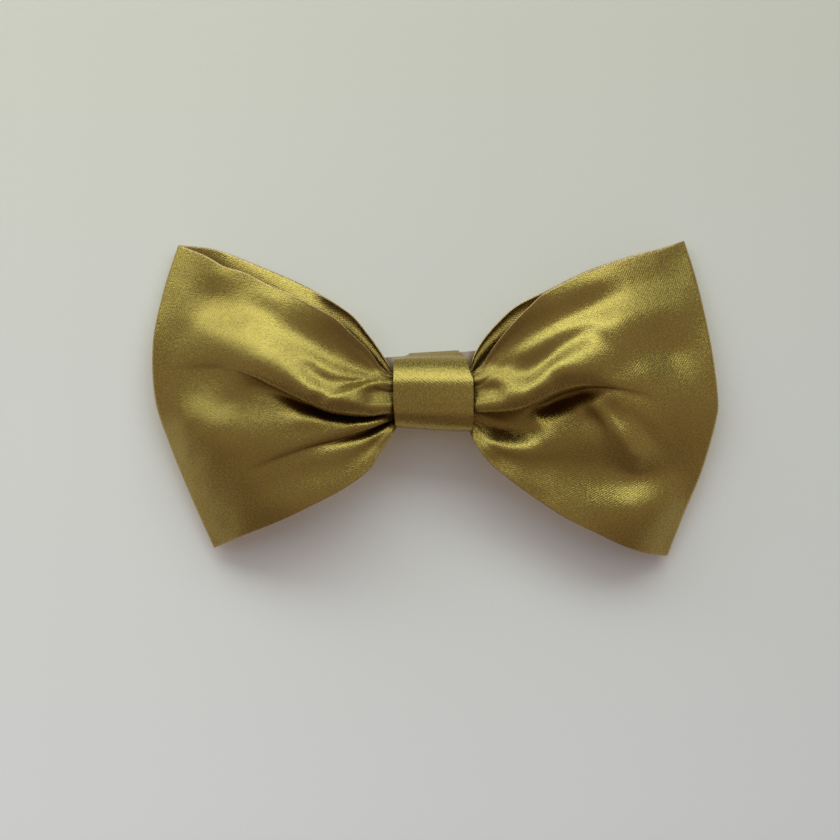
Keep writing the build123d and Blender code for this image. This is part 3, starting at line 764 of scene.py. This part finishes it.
def satin_yarns(tree, uv):
    """The relief of the weave, and the specks of yarns that catch the light one by one."""
    # Twill lines 0.7 mm apart; the wave texture repeats every 0.314 / scale metres.
    twill = node(tree, "ShaderNodeTexWave",
                 {"Vector": mapped(tree, uv, turn=TWILL_ANGLE), "Scale": 430.0,
                  "Distortion": 1.5, "Detail": 2.0, "Detail Scale": 2.0},
                 wave_type="BANDS", bands_direction="X").outputs["Fac"]
    # The specks are about half a millimetre long.
    yarn = noise(tree, mapped(tree, uv, (1100, 2000, 1), TWILL_ANGLE), 1.0, 2.0, roughness=0.75)
    specks = remap(tree, yarn, start=(0.3, 0.7))
    return maths(tree, "MULTIPLY_ADD", twill, 0.5, specks), specks


def satin_colour(tree, uv, weave):
    """Olive gold that drifts a little over the cloth and darkens in the weave; shade is painted into its
    folds and a highlight along its edge.
    """
    tones = ramp(tree, noise(tree, uv, 38.0, 3.0), (0.3, CLOTH_DARK), (0.75, CLOTH_LIGHT))
    woven = multiply(tree, tones, remap(tree, weave, start=(0, 1.5), end=(0.62, 1.38)))
    # Painted shade: folds that see little of the room are darkened and reddened in the colour itself,
    # standing in for the light that bounces in them.
    seen = node(tree, "ShaderNodeAmbientOcclusion", {"Distance": 0.014}, samples=8,
                only_local=True).outputs["AO"]
    fold_shaded_colour = multiply(tree, woven, ramp(tree, seen, (0.22, PAINTED_FOLD_SHADE), (0.88, WHITE)))
    # A painted highlight: the turned edge of the strip gets a thin paler line, where its hem catches the
    # light.
    across = node(tree, "ShaderNodeSeparateXYZ", {"Vector": uv}).outputs["Y"]
    half_width = STRIP_WIDTH_M / 2
    from_middle = maths(tree, "ABSOLUTE", maths(tree, "SUBTRACT", across, half_width))
    edge_highlight_share = remap(tree, from_middle, start=(half_width - 0.0005, half_width - 0.0002))
    return blend(tree, edge_highlight_share, fold_shaded_colour, (*TURNED_EDGE_HIGHLIGHT, 1))


def satin_material():
    """Olive-gold satin: glossy floats over a fine twill, brown in shade and yellow in light, with
    painted fold shade and a painted edge highlight.
    """
    material, tree, bsdf = new_material("olive_gold_satin")
    uv = node(tree, "ShaderNodeUVMap", uv_map="cloth").outputs["UV"]
    weave, specks = satin_yarns(tree, uv)
    relief = bump(tree, weave, 1.0, 0.000036)
    tangent = node(tree, "ShaderNodeTangent", direction_type="UV_MAP", uv_map="cloth")
    fill(tree, bsdf, {
        "Base Color": satin_colour(tree, uv, weave),
        "Roughness": remap(tree, specks, end=(0.23, 0.32)),
        "Metallic": 0.95,
        "Anisotropic": 0.55,
        "Tangent": tangent.outputs["Tangent"],
        "Sheen Weight": 0.05,
        "Sheen Roughness": 0.5,
        "Sheen Tint": (0.9, 0.7, 0.45, 1),
        "Normal": bump(tree, noise(tree, uv, 160.0, 2.0), 0.1, 0.0006, {"Normal": relief}),
    })
    return material


def thread_material():
    """Matt twisted sewing thread."""
    material, tree, bsdf = new_material("sewing_thread")
    where = node(tree, "ShaderNodeTexCoord").outputs["Object"]
    twist = node(tree, "ShaderNodeTexWave", {"Vector": where, "Scale": 1400.0, "Distortion": 0.6},
                 wave_type="BANDS", bands_direction="DIAGONAL").outputs["Fac"]
    fill(tree, bsdf, {
        "Base Color": ramp(tree, twist, (0.0, THREAD_DARK), (1.0, THREAD_LIGHT)),
        "Roughness": 0.75,
        "Normal": bump(tree, twist, 0.5, 0.0001),
    })
    return material


def steel_material(name, light, dark, roughness):
    """Plated strip steel: rolling lines along its length, faint blotches and rubbed edges."""
    material, tree, bsdf = new_material(name)
    where = node(tree, "ShaderNodeTexCoord").outputs["Object"]
    lines = noise(tree, mapped(tree, where, (60, 4000, 4000)), 1.0, 4.0)
    tones = ramp(tree, noise(tree, where, 260.0, 5.0), (0.3, dark), (0.7, light))
    sharpness = node(tree, "ShaderNodeNewGeometry").outputs["Pointiness"]
    rubbed = ramp(tree, sharpness, (0.5, BLACK), (0.56, WHITE))
    fill(tree, bsdf, {
        "Base Color": blend(tree, rubbed, tones, (*RUBBED_METAL, 1)),
        "Metallic": 1.0,
        "Roughness": remap(tree, lines, end=(roughness - 0.08, roughness + 0.12)),
        "Normal": bump(tree, lines, 0.15, 0.00005),
    })
    return material


def give(piece, material):
    """Puts one material on every slot of a piece."""
    if not piece.data.materials:
        piece.data.materials.append(material)
    for material_slot in piece.material_slots:
        material_slot.material = material


def dress(pieces, material, stands_for):
    """Finishes new pieces that ride the bow and stand for one of its CAD nodes."""
    for piece in pieces:
        give(piece, material)
        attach(piece, "bow")
        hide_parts(stands_for)


satin = satin_material()
thread = thread_material()
plated = steel_material("nickel_plate", (0.62, 0.59, 0.54), (0.42, 0.39, 0.35), 0.3)
spring = steel_material("spring_steel", (0.5, 0.48, 0.45), (0.33, 0.31, 0.29), 0.36)

dress((left_loop, right_loop, waist), satin, "bow_strip")
dress((band,), satin, "knot_band")
dress(threads, thread, "gather_thread")
dress(stitches, thread, "band_stitches")
for name in ("base_plate", "hinge_pin", "clasp_arm", "catch_plate", "catch_rivet"):
    give(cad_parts[name], plated)
for name in ("tension_bar", "upper_prong", "lower_prong"):
    give(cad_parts[name], spring)


# ------------------------------------------------------------------ surface, light and camera
BOARD_HALF_M = 1.5
BOARD_Y_M = 0.0004             # just behind the plane the clip rests on
# Painted shade: the board's colour at its bottom and at its top, darker and yellower upwards.
BOARD_LOW = (0.90, 0.88, 0.92)
BOARD_HIGH = (0.72, 0.70, 0.64)


def board_material():
    """Pale board with painted shade: darker and yellower to the top and darker to the right. It shows
    from its front only and casts no shadow.
    """
    material, tree, bsdf = new_material("pale_board")
    where = node(tree, "ShaderNodeTexCoord").outputs["Object"]
    split = node(tree, "ShaderNodeSeparateXYZ", {"Vector": where})
    # Painted shade, darker towards the top and towards the right.
    upwards = remap(tree, split.outputs["Z"], start=(-0.14, 0.11))
    rightwards = remap(tree, split.outputs["X"], start=(-0.13, 0.13), end=(1.0, 0.86))
    tones = ramp(tree, upwards, (0.0, BOARD_LOW), (1.0, BOARD_HIGH))
    fill(tree, bsdf, {
        "Base Color": multiply(tree, tones, rightwards),
        "Roughness": 0.75,
        "Normal": bump(tree, noise(tree, where, 420.0, 4.0), 0.12, 0.0004),
    })
    from_behind = node(tree, "ShaderNodeNewGeometry").outputs["Backfacing"]
    to_a_lamp = node(tree, "ShaderNodeLightPath").outputs["Is Shadow Ray"]
    clear = node(tree, "ShaderNodeBsdfTransparent").outputs["BSDF"]
    shown = node(tree, "ShaderNodeMixShader",
                 {"Fac": maths(tree, "MAXIMUM", from_behind, to_a_lamp),
                  1: bsdf.outputs["BSDF"], 2: clear})
    fill(tree, tree.nodes["Material Output"], {"Surface": shown.outputs["Shader"]})
    return material


def backdrop():
    """The surface the bow lies against."""
    half, y = BOARD_HALF_M, BOARD_Y_M
    corners = [(-half, y, -half), (half, y, -half), (half, y, half), (-half, y, half)]
    mesh = bpy.data.meshes.new("surface")
    mesh.from_pydata(corners, [], [(0, 1, 2, 3)])
    mesh.materials.append(board_material())
    piece = bpy.data.objects.new("surface", mesh)
    bpy.context.collection.objects.link(piece)


def area_light(name, place_m, size_m, watts, colour):
    """A rectangular lamp that faces the middle of the clip."""
    data = bpy.data.lights.new(name, "AREA")
    data.shape = "RECTANGLE"
    data.size, data.size_y = size_m
    data.energy = watts
    data.color = colour
    lamp = bpy.data.objects.new(name, data)
    lamp.location = place_m
    lamp.rotation_euler = (-Vector(place_m)).to_track_quat("-Z", "Y").to_euler()
    bpy.context.collection.objects.link(lamp)
    return lamp


def room():
    """Soft light from all round: warm at the bow's own height, darker above and below it."""
    world = bpy.data.worlds.new("room")
    world.use_nodes = True
    tree = world.node_tree
    where = node(tree, "ShaderNodeTexCoord").outputs["Generated"]
    up = node(tree, "ShaderNodeSeparateXYZ", {"Vector": where}).outputs["Z"]
    tones = ramp(tree, remap(tree, up, start=(-1, 1)),
                 (0.2, (0.19, 0.145, 0.135)), (0.5, (0.40, 0.335, 0.315)),
                 (0.72, (0.24, 0.24, 0.22)), (1.0, (0.13, 0.14, 0.13)))
    fill(tree, tree.nodes["Background"], {"Color": tones, "Strength": 1.0})
    bpy.context.scene.world = world


def camera():
    """Looks square on at the bow from the front."""
    data = bpy.data.cameras.new("camera")
    data.sensor_width = SENSOR_WIDTH
    data.lens = SENSOR_WIDTH * VIEW_DISTANCE / FRAME_WIDTH
    holder = bpy.data.objects.new("camera", data)
    holder.location = (VIEW_X * MM, -VIEW_DISTANCE * MM, VIEW_Z * MM)
    holder.rotation_euler = (math.radians(90), 0, 0)
    bpy.context.collection.objects.link(holder)
    bpy.context.scene.camera = holder
    bpy.context.scene.view_settings.view_transform = "Standard"


backdrop()
area_light("window_above", (-0.12, -0.62, 0.74), (2.6, 0.4), 9.6, (0.84, 1.0, 0.92))
# The window's wider glow lights the room but is too faint to show as a reflection.
glow = area_light("window_glow", (-0.05, -0.8, 0.66), (3.4, 1.8), 8.8, (0.95, 1.0, 0.98))
glow.visible_glossy = False
area_light("behind_left", (-0.5, 0.6, 0.4), (0.6, 0.6), 5.0, (1, 1, 1))
area_light("behind_right", (0.5, 0.7, 0.1), (0.6, 0.6), 3.0, (1, 0.98, 0.95))
room()
camera()
